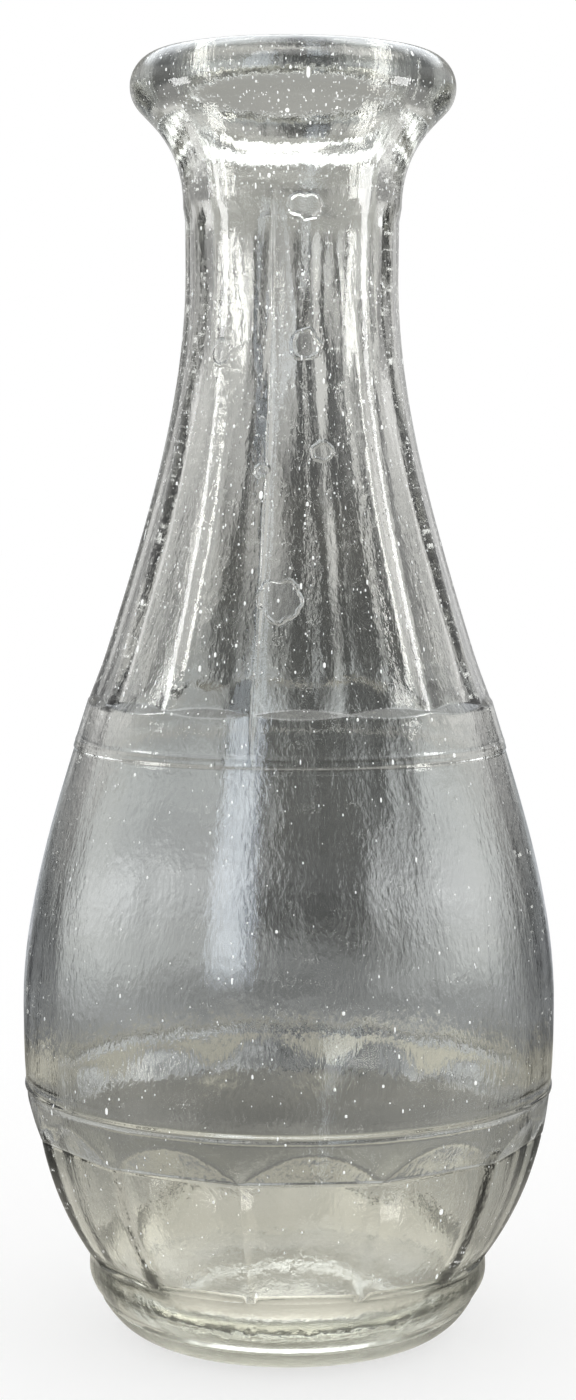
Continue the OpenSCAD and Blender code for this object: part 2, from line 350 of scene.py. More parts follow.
def wall_radius(s, h, theta, z):
    """Radius of the outside from the waist to the neck's top: bead, shoulder band and panels."""
    r = outer_radius(s, h, z)
    bead_z = h["bead"] - s.bead_r
    bead = outer_radius(s, h, np.array(bead_z)) + s.bead_proud - s.bead_r + np.sqrt(
        np.maximum(s.bead_r**2 - (z - bead_z)**2, 0))
    r = np.where(np.abs(z - bead_z) < s.bead_r, np.maximum(r, bead), r)
    # The shoulder band stands out by a step, with a hair line just above it
    band = s.shoulder_step * smooth_step((z - h["belly"] + BAND_START) / BAND_EDGE)
    band = band + HAIR_HIGH * np.exp(-((z - h["belly"] - HAIR_UP) / HAIR_WIDE)**2)
    # Above the heel's run-out the panels are out of the way, and leave the round wall alone
    clear, far_out, arch_round = h["heel"] + 1.5 * s.runout, 1, 0.1 * MM
    low = smooth_min(r, np.where(z < clear, heel_panels(s, h, theta, z), far_out), arch_round)
    wall = np.where(z < h["widest"], low, r + band)
    return np.where(z < h["shoulder"], wall, neck_panels(s, h, theta, z, r + s.shoulder_step))


def waves(theta, along, seed, count, around, up):
    """A wavy field of about unit height: a sum of cosines whose turns round the axis are whole numbers
    up to around, whose waves along the profile are about up long, and whose phases are random."""
    rng = np.random.default_rng(seed)
    field = np.zeros(np.broadcast(theta, along).shape)
    for turns, rate, phase in zip(
            rng.integers(1, around + 1, count),
            rng.normal(0, math.tau / up, count),
            rng.uniform(0, math.tau, count)):
        field += np.cos(turns * theta + rate * along + phase)
    return field / math.sqrt(count / 2)


def from_seam(theta):
    """Angle from the nearer of the two seams, which are opposite each other."""
    return np.abs((theta - SEAM + math.pi / 2) % math.pi - math.pi / 2)


def columns():
    """Angles of the mesh's columns: even, but closer together at the two seams."""
    steps, extra, spread = 4000, 4, math.radians(1.6)
    fine = np.linspace(0, math.tau, steps, endpoint=False)
    density = 1 + extra * np.exp(-(from_seam(fine) / spread)**2)
    passed = np.concatenate([[0], np.cumsum(density)])
    even = np.linspace(0, passed[-1], COLUMNS, endpoint=False)
    return np.interp(even, passed, np.concatenate([fine, [math.tau]]))


def stretch(z0, z1, count):
    """count heights from z0 towards z1, without z1."""
    return np.linspace(z0, z1, count, endpoint=False)


def underside(s):
    """Profile from the axis along the push-up, the standing ring and the foot's underside."""
    t = np.linspace(0, 1, 8, endpoint=False)
    push_up = np.stack([s.base_r * t, s.push_up_h - (s.push_up_h - s.push_up_rim) * t**2], 1)
    ring_in, ring_out = s.bearing_r - s.bearing_w / 2, s.bearing_r + s.bearing_w / 2
    # Small roundings of the push-up's rim and of the ring's inner corner, where the flat ring starts
    rim_out, rim_left = 0.3 * MM, 0.75
    corner_in, corner_up, corner_out = 0.15 * MM, 0.04 * MM, 0.2 * MM
    ring = [(s.base_r, s.push_up_rim), (s.base_r + rim_out, s.push_up_rim * rim_left),
        (ring_in - corner_in, corner_up), (ring_in + corner_out, 0), ((ring_in + ring_out) / 2, 0)]
    # From the ring the underside stays level for about half of the way, and then rises to the foot's edge
    level, edge_handle = 0.55, 1.6 * MM
    edge = s.foot_r - s.foot_edge_in - UNDER_IN
    curve = bezier([(ring_out, 0), (ring_out + level * (edge - ring_out), 0),
        (edge - edge_handle, s.foot_edge_z / 2), (edge, s.foot_edge_z - UNDER_DOWN)], 12)
    return np.concatenate([push_up, ring, curve])


def foot_side(s, h):
    """Profile of the foot's side, from its lower edge to the waist."""
    side, edge_z = s.foot_r - s.foot_edge_in, s.foot_edge_z
    # Small roundings of the edge and of the waist, in or out and up or down
    edge_in, edge_up = 0.1 * MM, 0.05 * MM
    waist_out, waist_down, waist_start = 0.1 * MM, 0.05 * MM, 0.25 * MM
    top, top_z = s.waist_r - s.waist_in, h["waist"] - waist_start
    # Handles of the side's curve: in from the foot's radius and up from its edge, out and down at the waist
    low_in, low_up, high_out, high_down = 0.3 * MM, 2 * MM, 0.5 * MM, 4 * MM
    edge = [(side - UNDER_IN, edge_z - UNDER_DOWN), (side - s.foot_groove, edge_z - GROOVE_LOW),
        (side - s.foot_groove, edge_z - GROOVE_HIGH), (side - edge_in, edge_z)]
    curve = bezier([(side, edge_z + edge_up), (s.foot_r - low_in, edge_z + low_up),
        (top + high_out, h["waist"] - high_down), (top, top_z)], 16)
    return np.concatenate([edge, curve, [(top, top_z), (top + waist_out, h["waist"] - waist_down)]])


def wall_heights(s, h):
    """Heights of the rows up the outside of the wall, closest where there is relief."""
    # Where each stretch starts, and how many rows it has
    stretches = [
        (h["waist"], 14),
        (h["heel"] - 0.6 * MM, 8),
        (h["heel"] + 0.6 * MM, 11),
        (h["heel"] + s.runout + 0.4 * MM, 3),
        (h["bead"] - 1.55 * s.bead_r, 9),
        (h["bead"] - 0.3 * s.bead_r, 3),
        (h["bead"] + 0.6 * MM, 18),
        (h["belly"] - 0.5 * MM, 12),
        (h["belly"] + 2.3 * MM, 4),
        (h["shoulder"], 18),
        (h["shoulder"] + 1.2 * s.ledge_h, 36),
    ]
    ends = [start for start, rows in stretches[1:]] + [h["neck"]]
    return np.concatenate([stretch(start, end, rows) for (start, rows), end in zip(stretches, ends)])


def lip_outline(s, h):
    """Profile of the flare, the lip's slanted underside and round, and the mouth down to the throat."""
    ring_r, ring_z = s.lip_r - s.lip_round, h["lip"] - s.lip_round
    under = math.radians(LIP_LEAN)
    under_end = (ring_r + s.lip_round * math.cos(under), ring_z + s.lip_round * math.sin(under))
    in_centre = (ring_r - s.lip_flat, h["lip"] - s.lip_in_round)
    in_angle = math.radians(MOUTH_LEAN)
    in_end = (in_centre[0] + s.lip_in_round * math.cos(in_angle),
        in_centre[1] + s.lip_in_round * math.sin(in_angle))
    throat_r = s.neck_r - s.wall
    # Handles of the curve down the mouth: out and down from the inner round's end, and out from the throat
    mouth_out, mouth_down, throat_out = 2.3 * MM, 9 * MM, 1.15 * MM
    return np.concatenate([
        bezier([(s.flare_r, h["neck"]), (s.flare_r, h["neck"] + s.flare_rise),
            (under_end[0] + s.lip_under * math.sin(under), under_end[1] - s.lip_under * math.cos(under)),
            under_end], FLARE_ROWS),
        arc((ring_r, ring_z), s.lip_round, LIP_LEAN, 90, LIP_ROWS),
        arc(in_centre, s.lip_in_round, 90, MOUTH_LEAN, INNER_ROWS),
        bezier([in_end, (in_end[0] + mouth_out, in_end[1] - mouth_down),
            (throat_r + throat_out, h["neck"] + s.mouth_fall), (throat_r, h["neck"])], MOUTH_ROWS),
    ])


def inside_floor(s, h):
    """Profile from the wall's foot round the inner corner and over the floor to the axis."""
    wall_foot = inner_radius(s, h, np.array(h["waist"]))
    rim = s.push_up_h + s.base_t - s.floor_fall
    # Handles of the inner corner: in and down from the wall, and out from the disc's rim
    wall_in, wall_down, floor_out = 2 * MM, 3 * MM, 8 * MM
    corner = bezier([(wall_foot, h["waist"]), (wall_foot - wall_in, h["waist"] - wall_down),
        (s.base_r + floor_out, rim), (s.base_r, rim)], 9)
    t = np.linspace(1, 0, 7)
    floor = np.stack([s.base_r * t, s.push_up_h + s.base_t - s.floor_fall * t**2], 1)
    return np.concatenate([corner, floor])


def glass_surface(s):
    """Grid of points (row, column, xyz) over the whole shell: the profile goes from the axis under the base
    out to the foot, up the outside, over the lip and down the inside to the axis again, and is turned about
    the axis. On the wall the radius is wall_radius(angle, height). Along the profile's normal it is raised by
    the seams and by ripples, and the inside by the slower waves of blown glass."""
    h = zone_heights(s)
    theta = columns()[None, :]
    foot = np.concatenate([underside(s), foot_side(s, h)])
    wall_z = wall_heights(s, h)
    lip = lip_outline(s, h)
    inner_z = np.concatenate([stretch(h["neck"], h["shoulder"], 22), stretch(h["shoulder"], h["waist"], 20)])
    inner = np.stack([inner_radius(s, h, inner_z), inner_z], 1)
    wall = np.stack([outer_radius(s, h, wall_z), wall_z], 1)
    profile = np.concatenate([foot, wall, lip, inner, inside_floor(s, h)])
    r = np.repeat(profile[:, :1], COLUMNS, 1)
    z = np.repeat(profile[:, 1:], COLUMNS, 1)
    first, last = len(foot), len(foot) + len(wall)
    r[first:last] = wall_radius(s, h, theta, z[first:last])
    inside = len(foot) + len(wall) + len(lip)
    r[inside:] *= inner_panels(s, h, theta, z[inside:])

    # The foot's lower edge rises towards the sides
    rise = s.foot_wave * np.sin(theta - FRONT)**2
    near_edge = (smooth_step(z[:first] / s.foot_edge_z)
        * smooth_step((h["waist"] - z[:first]) / (h["waist"] - s.foot_edge_z)))
    outside = smooth_step((r[:first] - s.bearing_r - s.bearing_w) / (6 * MM))
    z[:first] += rise * near_edge * outside

    # Outward normals of the profile, in its own plane
    step = np.gradient(profile, axis=0)
    step /= np.linalg.norm(step, axis=1)[:, None] + 1e-12
    along = np.concatenate([[0], np.cumsum(np.linalg.norm(np.diff(profile, axis=0), axis=1))])[:, None]
    height = profile[:, 1:]
    outer = (np.arange(len(profile)) < last + FLARE_ROWS - 2)[:, None]

    # The seams vary in width. They are plain on the neck, faint on foot and heel, and gone on the belly
    seam_end = h["neck"] + 4 * MM
    wander = 1 + 0.35 * np.sin(height / (2.3 * MM)) + 0.25 * np.sin(height / (0.9 * MM) + 1)
    seam = s.seam_h * np.exp(-(from_seam(theta) * profile[:, :1] / (s.seam_w * wander))**2)
    on_neck = smooth_step((height - h["belly"]) / (8 * MM)) * smooth_step((seam_end - height) / (8 * MM))
    on_heel = (0.3 * smooth_step((height - s.foot_edge_z) / (3 * MM))
        * smooth_step((h["heel"] - height) / (5 * MM)))
    relief = seam * np.where(outer, on_neck + on_heel, 0)

    # Ripples outside, from above the standing ring to the lip's underside
    plain = np.where(outer, smooth_step((height - 1 * MM) / (4 * MM)), 0)
    streaks = waves(theta, along, seed=11, count=60, around=46, up=60 * MM)
    peel = waves(theta, along, seed=12, count=60, around=60, up=9 * MM)
    relief = relief + plain * s.ripple * (0.75 * streaks + 0.3 * peel)

    # Slower waves inside, from above the floor to the flare, and calmest below the neck's middle
    blown = np.where(outer, 0, smooth_step((seam_end - height) / (20 * MM))
        * smooth_step((height - 10 * MM) / (8 * MM)))
    slow = waves(theta, along, seed=13, count=40, around=14, up=45 * MM)
    quick = waves(theta, along, seed=14, count=50, around=30, up=26 * MM)
    calm = 0.25 + 0.75 * smooth_step((height - h["shoulder"] - 30 * MM) / (45 * MM))
    relief = relief + blown * calm * s.inner_ripple * (0.8 * slow + 0.3 * quick)
    r += relief * step[:, 1:]
    z -= relief * step[:, :1]

    # Nothing reaches past the frame's box
    r = np.clip(r, 0, min(CAD_HIGH.x, CAD_HIGH.y))
    z = np.clip(z, CAD_LOW.z, CAD_HIGH.z)
    r[0] = r[-1] = 0
    return np.stack([r * np.cos(theta), r * np.sin(theta), z], 2)


def shell_mesh(name, grid):
    """Closed mesh of a grid whose first and last rows are single points on the axis."""
    rows, cols = grid.shape[:2]
    points = np.concatenate([grid[0, :1], grid[1:-1].reshape(-1, 3), grid[-1, :1]])
    ring = np.arange((rows - 2) * cols).reshape(rows - 2, cols) + 1
    here, there = ring, np.roll(ring, -1, axis=1)
    quads = np.stack([here[:-1], there[:-1], there[1:], here[1:]], 2).reshape(-1, 4)
    start = np.stack([np.zeros(cols, int), there[0], here[0]], 1)
    end = np.stack([here[-1], there[-1], np.full(cols, len(points) - 1)], 1)
    mesh = bpy.data.meshes.new(name)
    mesh.from_pydata(points.tolist(), [], quads.tolist() + start.tolist() + end.tolist())
    mesh.shade_smooth()
    mesh.validate()
    return mesh


def seed_mesh(name, s):
    """Tiny drawn-out bubbles in the wall: one eight-sided drop of 32 faces, repeated at random places and
    sizes. Each is a drop of unit radius stretched along the wall and moved into the glass."""
    rng = np.random.default_rng(5)
    h = zone_heights(s)
    count = s.seeds
    # Sides of a drop, and the radius and height of the two rings of corners between its poles
    sides, ring_r, ring_z = 8, 0.8, 0.6
    turn = np.arange(sides) * math.tau / sides
    ring = np.stack([np.tile(np.cos(turn) * ring_r, 2), np.tile(np.sin(turn) * ring_r, 2),
        np.repeat([-ring_z, ring_z], sides)], 1)
    drop = np.concatenate([[(0, 0, -1)], ring, [(0, 0, 1)]])
    # Corners are numbered from the lower pole, then round the low ring and the high ring
    low = np.arange(sides) + 1
    low_next = np.roll(low, -1)
    high, high_next = low + sides, low_next + sides
    faces = np.concatenate([
        np.stack([np.zeros(sides, int), low_next, low], 1),
        np.stack([low, low_next, high_next], 1), np.stack([low, high_next, high], 1),
        np.stack([high, high_next, np.full(sides, len(drop) - 1)], 1)])
    # Two in five lie in the neck below its narrowest place, and the rest anywhere from the waist up
    in_neck, highest = 0.4, h["neck"] + 12 * MM
    z = np.where(rng.random(count) < in_neck, rng.uniform(h["shoulder"], h["narrow"], count),
        rng.uniform(h["waist"], highest, count))
    theta = rng.uniform(0, math.tau, count)
    # Their middle radius and its spread, how much longer than wide they are, and the glass over them
    middle, spread, longer, skin = 0.1 * MM, 0.45, 0.5, 0.12 * MM
    size = rng.lognormal(math.log(middle), spread, count)
    drawn = 1 + rng.exponential(longer, count)
    r = np.minimum(wall_radius(s, h, theta, np.minimum(z, h["neck"])), CAD_HIGH.x) - skin - size
    # The first ones lie under the skin of the flare and of most of the lip's outer round
    lip = lip_outline(s, h)[2:FLARE_ROWS + LIP_ROWS - 4]
    slope = np.gradient(lip, axis=0)
    slope /= np.linalg.norm(slope, axis=1)[:, None]
    here = rng.integers(0, len(lip), s.lip_seeds)
    shallowest, spread_down = 0.3 * MM, 1 * MM
    under = shallowest + rng.uniform(0, spread_down, s.lip_seeds)
    r[:s.lip_seeds] = lip[here, 0] - under * slope[here, 1]
    z[:s.lip_seeds] = lip[here, 1] + under * slope[here, 0]
    centre = np.stack([r * np.cos(theta), r * np.sin(theta), z], 1)
    scale = np.stack([size, size, size * drawn], 1)
    points = (centre[:, None] + drop[None] * scale[:, None]).reshape(-1, 3)
    all_faces = (faces[None] + (np.arange(count) * len(drop))[:, None, None]).reshape(-1, 3)
    mesh = bpy.data.meshes.new(name)
    mesh.from_pydata(points.tolist(), [], all_faces.tolist())
    mesh.shade_smooth()
    return mesh


# ------------------------------------------------------------- the finishes

def add(tree, kind, inputs=None, **settings):
    """Adds a node, sets its settings, and gives each named input a value or a link from a socket."""
    node = tree.nodes.new(kind)
    for name, value in settings.items():
        setattr(node, name, value)
    for name, value in (inputs or {}).items():
        if isinstance(value, bpy.types.NodeSocket):
            tree.links.new(value, node.inputs[name])
        else:
            node.inputs[name].default_value = value
    return node


def maths(tree, operation, *values):
    """The result of an operation on values or sockets."""
    return add(tree, "ShaderNodeMath", dict(enumerate(values)), operation=operation).outputs[0]


def empty_material(name):
    """A material with an output and nothing else."""
    material = bpy.data.materials.new(name)
    material.use_nodes = True
    material.node_tree.nodes.clear()
    return material, material.node_tree


def rgba(c):
    """A colour with full alpha."""
    return (*c, 1)


# Refractive index of soda-lime glass
GLASS_IOR = 1.52
# Worn marks on the neck: degrees round from the front towards the right, height and radius in millimetres
MARKS = [(16.7, 177.8, 2.6), (23.3, 159.9, 1.8), (6.5, 134.5, 3.6), (13.2, 201.8, 1.8), (18.9, 201.4, 2.0),
    (-29, 176.7, 2.2), (-2.3, 156.4, 1.2)]


def marks(tree, place, s):
    """How far a place lies outside the nearest mark's wavy rim, in metres. Inside a mark it is negative."""
    h = zone_heights(s)
    noise = add(tree, "ShaderNodeTexNoise", {"Vector": place, "Scale": 300, "Detail": 3}).outputs["Fac"]
    nearest = None
    for degrees, z, size in MARKS:
        a, r = math.radians(degrees), float(outer_radius(s, h, np.array(z * MM)))
        far = add(tree, "ShaderNodeVectorMath", {0: place, 1: (math.sin(a) * r, -math.cos(a) * r, z * MM)},
            operation="DISTANCE").outputs["Value"]
        wavy = maths(tree, "MULTIPLY_ADD", noise, size * MM, far)
        outside = maths(tree, "SUBTRACT", wavy, 1.5 * size * MM)
        nearest = outside if nearest is None else maths(tree, "MINIMUM", nearest, outside)
    return nearest


def pressed_glass(finish, sizes):
    """Soda-lime glass, pressed in a mould and fire-polished: nearly colourless, with a skin that is a little
    uneven. The eye sees sharp reflections that waver, and a green-yellow cast where the glass is thick."""
    material, tree = empty_material("pressed_glass")
    place = add(tree, "ShaderNodeTexCoord").outputs["Object"]
    # The mould's hammered skin, about 4 mm across, and its pits, under 1 mm, both drawn out down the wall
    drawn = add(tree, "ShaderNodeMapping", {"Vector": place, "Scale": (1, 1, 0.4)})
    hammered = add(tree, "ShaderNodeTexNoise", {"Vector": drawn.outputs[0], "Scale": 260, "Detail": 2})
    pits = add(tree, "ShaderNodeTexNoise", {"Vector": drawn.outputs[0], "Scale": 1300, "Detail": 3})
    broad = add(tree, "ShaderNodeBump", {"Strength": 0.25, "Distance": 0.2 * MM,
        "Height": hammered.outputs["Fac"]})
    fine = add(tree, "ShaderNodeBump", {"Strength": 0.4, "Distance": 0.1 * MM,
        "Height": pits.outputs["Fac"], "Normal": broad.outputs[0]})
    # The foot is duller and lumpy, from 4 mm across down to a fine orange peel
    height = add(tree, "ShaderNodeSeparateXYZ", {0: place}).outputs["Z"]
    low = add(tree, "ShaderNodeMapRange", {"Value": height, "From Min": 15.5 * MM, "From Max": 12.5 * MM},
        interpolation_type="SMOOTHSTEP").outputs[0]
    rough = add(tree, "ShaderNodeMapRange", {"Value": low, "To Min": 0.015, "To Max": 0.13}).outputs[0]
    stipple = add(tree, "ShaderNodeTexNoise", {"Vector": place, "Scale": 280, "Detail": 4})
    peel = add(tree, "ShaderNodeBump", {"Strength": low, "Distance": 0.2 * MM,
        "Height": stipple.outputs["Fac"], "Normal": fine.outputs[0]})
    # Each mark has a raised rim, 1 mm wide, and is duller inside
    outside = marks(tree, place, sizes)
    off_rim = maths(tree, "ABSOLUTE", outside)
    rim = add(tree, "ShaderNodeMapRange", {"Value": off_rim, "From Min": 0, "From Max": 0.5 * MM, "To Min": 1,
        "To Max": 0}, interpolation_type="SMOOTHSTEP").outputs[0]
    inside = add(tree, "ShaderNodeMapRange", {"Value": outside, "From Min": 0.1 * MM, "From Max": -0.3 * MM,
        "To Min": 0, "To Max": 0.25}).outputs[0]
    dull = maths(tree, "MAXIMUM", rough, inside)
    scars = add(tree, "ShaderNodeBump", {"Strength": 1, "Distance": 0.17 * MM, "Height": rim,
        "Normal": peel.outputs[0]})
    surface = add(tree, "ShaderNodeBsdfPrincipled", {
        "Base Color": rgba(finish.glass),
        "Transmission Weight": 1,
        "Roughness": dull,
        "IOR": GLASS_IOR,
        "Normal": scars.outputs[0],
    })
    depth = add(tree, "ShaderNodeVolumeAbsorption", {"Color": rgba(finish.depth), "Density": 14})
    add(tree, "ShaderNodeOutputMaterial", {"Surface": surface.outputs[0], "Volume": depth.outputs[0]})
    return material


def seed_finish(finish):
    """Seeds are bubbles of gas left in the melt. A bubble gathers light from every side of the glass; here
    that light is painted, as a faint light of its own, so that the eye sees a pale glint."""
    material, tree = empty_material("seed_glint")
    surface = add(tree, "ShaderNodeBsdfPrincipled", {
        "Base Color": rgba(finish.seed),
        "Roughness": 0.25,
        # Painted glint: the seed glows a little, though it is no lamp
        "Emission Color": rgba(finish.seed),
        "Emission Strength": 0.7,
    })
    add(tree, "ShaderNodeOutputMaterial", {"Surface": surface.outputs[0]})
    return material


def placed(mesh, material):
    """A new object in the scene, at the origin, of a finished mesh in one material."""
    mesh.materials.append(material)
    made = bpy.data.objects.new(mesh.name, mesh)
    bpy.context.scene.collection.objects.link(made)
    return made


# ---------------------------------------------------------------- the stage

# What the glass shows of a table, with its light falloff painted into the tone: distance from the axis in
# metres, and tone
TABLE_WITH_FALLOFF = [(0, "#f0eee6"), (0.018, "#c2c0b6"), (0.028, "#94928a"), (0.043, "#c9c7bc"), (0.055, "#bab8ae"),
    (0.08, "#a4a29a"), (0.105, "#84847e"), (0.15, "#7a7a78"), (0.19, "#686866"), (0.215, "#a6a499"),
    (0.25, "#a4a298"), (0.28, "#808284"), (0.40, "#a0a3a6"), (0.55, "#c1c4c9"), (0.8, "#b6babe"),
    (1.2, "#a9adb0"), (2.0, "#989a9a")]
# How bright the painted table glows for its tones, and how bright its patches of painted shade and light are
# beside that
TABLE_LIGHT = 1.3
PATCH_DARK, PATCH_LIGHT = 0.6, 1.35
# Distances over which the painted shade by the direction starts on the table
SHADE_FROM, SHADE_TO = 0.2, 0.45
# Painted shade on the table straight behind and at the sides, by degrees of azimuth towards the right
SHADE_BY_DIRECTION = [(-75, "#f0f0f0"), (-58, "#8a8a8a"), (-30, "#8a8a8a"), (-21, "#ffffff"), (-9, "#ececec"),
    (-2.8, "#d8d8d8"), (-0.6, "#606060"), (4.2, "#565656"), (6.6, "#d0d0d0"), (10, "#f8f8f8"),
    (21, "#ffffff"), (30, "#8a8a8a"), (58, "#8a8a8a"), (75, "#f0f0f0")]
# The room behind at eye level, by the same degrees
ROOM = [(-80, "#e2e4e4"), (-65, "#8a8a8a"), (-30, "#8a8a8a"), (-21, "#d8d8d8"), (-12, "#c0c0c0"),
    (-6, "#b4b4b4"), (-2.4, "#a0a0a0"), (-0.4, "#464646"), (4, "#404040"), (6, "#9c9c9c"),
    (10, "#d0d0d0"), (21, "#e0e0e0"), (30, "#8a8a8a"), (65, "#8a8a8a"), (80, "#e2e4e4")]
# The wall above it, and how it takes over by degrees of elevation
WALL = [(-60, "#e8e8e8"), (-34, "#dcdcdc"), (-24, "#a4a4a1"), (24, "#a4a4a1"), (34, "#dcdcdc"),
    (60, "#e8e8e8")]
WALL_UP = [(2, "#000000"), (5, "#808080"), (9, "#ffffff")]
# How much of the ceiling's light there is, by degrees of elevation
CEILING = [(20.5, "#000000"), (24.5, "#ffffff"), (55, "#ffffff"), (75, "#a8a8a8")]
CEILING_LIGHT = 2.8
# The part of it that is left towards the sides, by degrees of azimuth
CEILING_SIDES = [(-90, "#606060"), (-60, "#606060"), (-35, "#ffffff"), (35, "#ffffff"), (60, "#606060"),
    (90, "#606060")]


def ramp(tree, value, stops):
    """A tone read off a list of (value, sRGB hex) stops."""
    low, high = stops[0][0], stops[-1][0]
    along = add(tree, "ShaderNodeMapRange", {"Value": value, "From Min": low, "From Max": high})
    node = add(tree, "ShaderNodeValToRGB", {"Fac": along.outputs[0]})
    elements = node.color_ramp.elements
    for stop in stops[1:-1]:
        elements.new((stop[0] - low) / (high - low))
    for element, stop in zip(elements, stops):
        element.color = rgba(srgb(stop[1]))
    return node.outputs["Color"]


def round_behind(tree, way, stage):
    """Degrees from straight behind the carafe, as the camera sees it, towards the right."""
    a = stage.camera_azimuth
    across, away = (
        add(tree, "ShaderNodeVectorMath", {0: way, 1: axis}, operation="DOT_PRODUCT").outputs["Value"]
        for axis in ((math.cos(a), math.sin(a), 0), (-math.sin(a), math.cos(a), 0)))
    return maths(tree, "DEGREES", maths(tree, "ARCTAN2", across, away))


def mix(tree, part, a, b, blend="MIX"):
    """Tone a, with the given part of it mixed or blended with tone b."""
    return add(tree, "ShaderNodeMix", {"Factor": part, "A": a, "B": b}, data_type="RGBA",
        blend_type=blend).outputs["Result"]


def times(tree, a, b):
    """The product of two tones."""
    return mix(tree, 1.0, a, b, "MULTIPLY")


def to_glass(tree):
    """1 for what the glass mirrors or shows to the camera. Light that goes through the glass to the floor or
    to a seed is left out, and comes from the plain white."""
    path = add(tree, "ShaderNodeLightPath").outputs
    bent = maths(tree, "MAXIMUM", path["Is Glossy Ray"], path["Is Transmission Ray"])
    direct = maths(tree, "LESS_THAN", path["Diffuse Depth"], 0.5)
    return maths(tree, "MULTIPLY", bent, direct)


def floor_finish(stage):
    """Smooth matt paper, pale to the camera. The glass shows a table in its place that glows, with painted
    light falloff in its tone by the distance, painted shade straight behind and at the sides, and soft
    patches of painted light and shade."""
    material, tree = empty_material("pale_floor")
    place = add(tree, "ShaderNodeTexCoord").outputs["Object"]
    away = add(tree, "ShaderNodeVectorMath", {0: place}, operation="LENGTH").outputs["Value"]
    # Painted shade by the direction, from a distance outwards
    far = add(tree, "ShaderNodeMapRange", {"Value": away, "From Min": SHADE_FROM, "From Max": SHADE_TO})
    strip = mix(tree, far.outputs[0], (1, 1, 1, 1), ramp(tree, round_behind(tree, place, stage), SHADE_BY_DIRECTION))
    # Soft patches of painted light and shade, from 15 cm across down to a few millimetres
    patches = add(tree, "ShaderNodeTexNoise", {"Vector": place, "Scale": 7, "Detail": 6, "Roughness": 0.68})
    strength = add(tree, "ShaderNodeMapRange", {
        "Value": patches.outputs["Fac"], "From Min": 0.4, "From Max": 0.6,
        "To Min": PATCH_DARK * TABLE_LIGHT, "To Max": PATCH_LIGHT * TABLE_LIGHT}).outputs[0]
    # The table's tones, with their painted falloff and shade, glow as a light of their own that only the
    # glass sees
    table = add(tree, "ShaderNodeEmission", {"Color": times(tree, ramp(tree, away, TABLE_WITH_FALLOFF), strip),
        "Strength": strength})
    matt = add(tree, "ShaderNodeBsdfDiffuse", {"Color": rgba(stage.floor)})
    plain = add(tree, "ShaderNodeEmission", {"Color": rgba(stage.floor)})
    paper = add(tree, "ShaderNodeMixShader", {0: stage.floor_glow, 1: matt.outputs[0], 2: plain.outputs[0]})
    seen = add(tree, "ShaderNodeMixShader", {0: to_glass(tree), 1: paper.outputs[0], 2: table.outputs[0]})
    add(tree, "ShaderNodeOutputMaterial", {"Surface": seen.outputs[0]})
    return material


def soft_box(tree, across, up, middle, half, strength, tint):
    """A soft-edged panel of light in the world, from its middle and half its size in degrees."""
    reach = None
    for value, centre, size in zip((across, up), middle, half):
        far = maths(tree, "ABSOLUTE", maths(tree, "SUBTRACT", value, centre))
        edge = add(tree, "ShaderNodeMapRange", {"Value": far, "From Min": size * 1.15,
            "From Max": size * 0.85}, interpolation_type="SMOOTHSTEP").outputs[0]
        reach = edge if reach is None else maths(tree, "MULTIPLY", reach, edge)
    return times(tree, maths(tree, "MULTIPLY", reach, strength), rgba(srgb(tint)))


# Middle and half size in degrees (azimuth from the front towards the right, and elevation), strength, tint
SOFT_BOXES = [
    ((30, 60), (60, 14), 2.0, "#ffffff"),
    ((-16, 30), (10, 26), 4.0, "#dde8f6"),
]

# Half the floor's side, in metres
FLOOR_HALF = 4

# Strip lamps beside the neck: azimuth in degrees, distance, lowest and highest edge, width, brightness
LAMPS = [
    (-70, 0.15, 0.165, 0.208, 0.04, 9),
    (86, 0.15, 0.165, 0.212, 0.04, 9),
]


def soft_studio(stage):
    """The world: an even white for the camera and for the floor's light. To the glass it is a plain room,
    darker straight behind and lighter upwards, with soft boxes in front."""
    world = bpy.data.worlds.new("soft_studio")
    world.use_nodes = True
    tree = world.node_tree
    tree.nodes.clear()
    way = add(tree, "ShaderNodeTexCoord").outputs["Generated"]
    parts = add(tree, "ShaderNodeSeparateXYZ", {0: way})
    front = maths(tree, "MULTIPLY", parts.outputs["Y"], -1)
    across = maths(tree, "DEGREES", maths(tree, "ARCTAN2", parts.outputs["X"], front))
    up = maths(tree, "DEGREES", maths(tree, "ARCSINE", parts.outputs["Z"]))
    turned = round_behind(tree, way, stage)
    ceiling = times(tree, ramp(tree, turned, CEILING_SIDES), rgba([c * CEILING_LIGHT for c in stage.sky]))
    wall = mix(tree, ramp(tree, up, WALL_UP), ramp(tree, turned, ROOM), ramp(tree, turned, WALL))
    behind = mix(tree, ramp(tree, up, CEILING), wall, ceiling)
    to_front = add(tree, "ShaderNodeMapRange", {"Value": front, "From Min": -0.2, "From Max": 0.5},
        interpolation_type="SMOOTHSTEP").outputs[0]
    low = add(tree, "ShaderNodeMapRange", {"Value": up, "From Min": 40, "From Max": 30}).outputs[0]
    lit = mix(tree, maths(tree, "MULTIPLY", to_front, low), behind, rgba(stage.front))
    for middle, half, strength, tint in SOFT_BOXES:
        lit = mix(tree, 1.0, lit, soft_box(tree, across, up, middle, half, strength, tint), "ADD")
    seen = mix(tree, to_glass(tree), rgba(stage.floor), lit)
    light = add(tree, "ShaderNodeBackground", {"Color": seen, "Strength": 1})
    add(tree, "ShaderNodeOutputWorld", {"Surface": light.outputs[0]})
    return world


